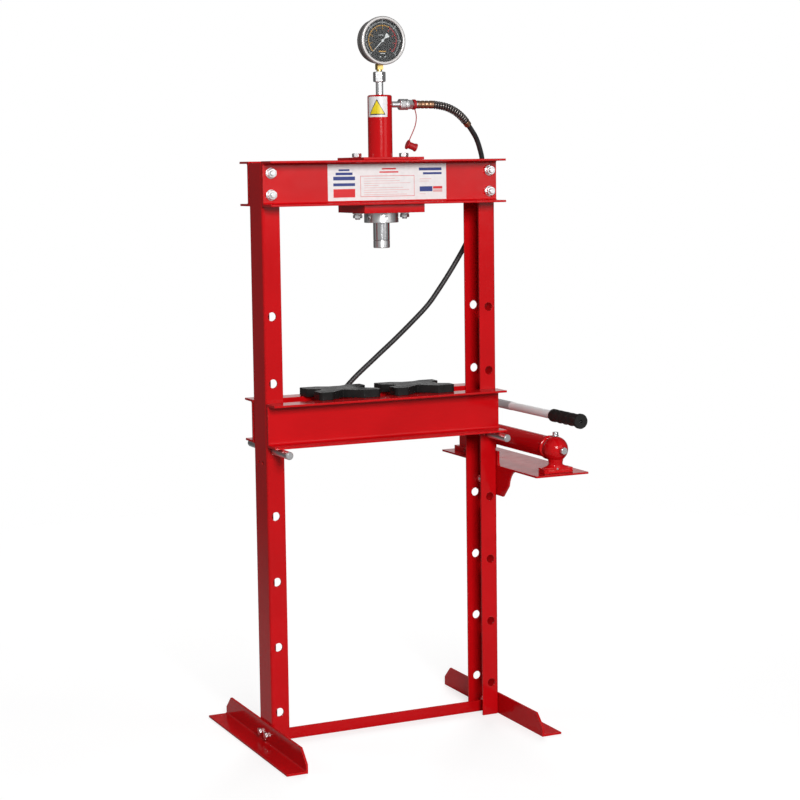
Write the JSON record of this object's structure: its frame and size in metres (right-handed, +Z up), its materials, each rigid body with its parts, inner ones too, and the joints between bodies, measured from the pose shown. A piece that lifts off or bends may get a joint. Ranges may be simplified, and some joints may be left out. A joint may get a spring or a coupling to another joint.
{
  "type": "hydraulic shop press",
  "caption": "Floor-standing H-frame press with a gauge, a clamped ram, a pin-set bed with two notched plates, and a hand pump on a side bracket.",
  "frame": {"origin": "on the floor at the centre of the press's outline from above", "axes": "+Z up, the front towards -Y, the pump on the +X side"},
  "size_m": [0.7682, 0.568, 1.6455],
  "materials": {
    "red_paint": "gloss red paint",
    "zinc": "bright zinc plate",
    "steel": "bright machined steel",
    "polished_rod": "ground and polished",
    "black_paint": "black paint",
    "black_iron": "blackened",
    "brass": "turned brass",
    "bronze_plating": "yellow plating",
    "rubber": "matt black",
    "red_plastic": "moulded red",
    "dial_black": "printed dial",
    "white_paint": "white needle",
    "clear": "clear lens"
  },
  "bodies": {
    "frame": {"upright_left": "red_paint", "upright_right": "red_paint", "top_beam_front": "red_paint", "top_beam_rear": "red_paint", "bottom_rail": "red_paint", "foot_left": "red_paint", "foot_right": "red_paint", "ram_plate_top": "red_paint", "ram_plate_bottom": "red_paint", "ram_cylinder": "red_paint", "pump_bracket": "red_paint", "pump_reservoir": "red_paint", "pump_front_cap": "red_paint", "pump_head": "red_paint", "beam_bolt_front_left_upper": "zinc", "beam_bolt_front_left_lower": "zinc", "beam_bolt_front_right_upper": "zinc", "beam_bolt_front_right_lower": "zinc", "beam_bolt_rear_left_upper": "zinc", "beam_bolt_rear_left_lower": "zinc", "beam_bolt_rear_right_upper": "zinc", "beam_bolt_rear_right_lower": "zinc", "foot_bolt_left_front": "zinc", "foot_bolt_left_rear": "zinc", "foot_bolt_right_front": "zinc", "foot_bolt_right_rear": "zinc", "tie_bolt_left": "zinc", "tie_bolt_right": "zinc", "gauge_adapter": "zinc", "coupler_collar": "zinc", "coupler_nut": "zinc", "front_plug": "zinc", "filler_plug": "zinc", "hose_pump_fitting": "zinc", "collar_nut": "steel", "return_spring": "steel", "gauge_case": "black_paint", "hose_spring_guard": "black_paint", "gauge_stem": "brass", "hose_ferrule": "bronze_plating", "hose": "rubber", "gauge_dial": "dial_black", "gauge_lens": "clear"},
    "ram": {"ram_plunger": "polished_rod", "plunger_tip": "steel"},
    "needle": {"gauge_needle": "white_paint"},
    "dust_cap": {"dust_cap": "red_plastic"},
    "bed": {"bed_beam_front": "red_paint", "bed_beam_rear": "red_paint", "bed_spacer_left": "red_paint", "bed_spacer_right": "red_paint"},
    "pin_left": {"bed_pin_left": "steel"},
    "pin_right": {"bed_pin_right": "steel"},
    "plate_left": {"arbor_plate_left": "black_iron"},
    "plate_right": {"arbor_plate_right": "black_iron"},
    "lever": {"pump_lever": "steel", "handle_tube": "zinc", "handle_grip": "rubber"},
    "piston": {"pump_piston": "polished_rod"},
    "release_knob": {"release_knob": "black_paint"}
  },
  "joints": [
    {"name": "ram_slide", "type": "slide", "parent": "frame", "child": "ram", "axis": [0, 0, -1], "range_m": [0, 0.15], "stiffness_N_per_m": 300, "springref_m": -0.15, "deforming": ["return_spring"]},
    {"name": "gauge_needle_turn", "type": "hinge", "parent": "frame", "child": "needle", "pos_m": [-0.02685, 0.0094, 1.591], "axis": [0, 1, 0], "range_deg": [0, 270], "stiffness_Nm_per_rad": 0.002, "springref_deg": -5.73},
    {"name": "dust_cap_swing", "type": "hinge", "parent": "frame", "child": "dust_cap", "pos_m": [0.05915, 0.03, 1.4485], "axis": [1, 0, 0], "range_deg": [-40, 40]},
    {"name": "bed_lift", "type": "slide", "parent": "frame", "child": "bed", "axis": [0, 0, 1], "range_m": [0, 0.15]},
    {"name": "pin_left_slide", "type": "slide", "parent": "frame", "child": "pin_left", "axis": [0, -1, 0], "range_m": [0, 0.14]},
    {"name": "pin_right_slide", "type": "slide", "parent": "frame", "child": "pin_right", "axis": [0, -1, 0], "range_m": [0, 0.14]},
    {"name": "plate_left_slide", "type": "slide", "parent": "bed", "child": "plate_left", "axis": [1, 0, 0], "range_m": [-0.07, 0.014]},
    {"name": "plate_right_slide", "type": "slide", "parent": "bed", "child": "plate_right", "axis": [1, 0, 0], "range_m": [-0.014, 0.07]},
    {"name": "pump_lever_swing", "type": "hinge", "parent": "frame", "child": "lever", "pos_m": [0.31615, 0.252, 0.7025], "axis": [-1, 0, 0], "range_deg": [0, 40]},
    {"name": "pump_piston_slide", "type": "slide", "parent": "frame", "child": "piston", "axis": [0, 0, 1], "range_m": [0, 0.024]},
    {"name": "release_knob_turn", "type": "hinge", "parent": "frame", "child": "release_knob", "pos_m": [0.34645, 0.216, 0.6335], "axis": [1, 0, 0], "range_deg": [0, 270]}
  ],
  "couplings": [
    {"joint": "pump_piston_slide", "follows": "pump_lever_swing", "m_per_rad": 0.0337}
  ]
}
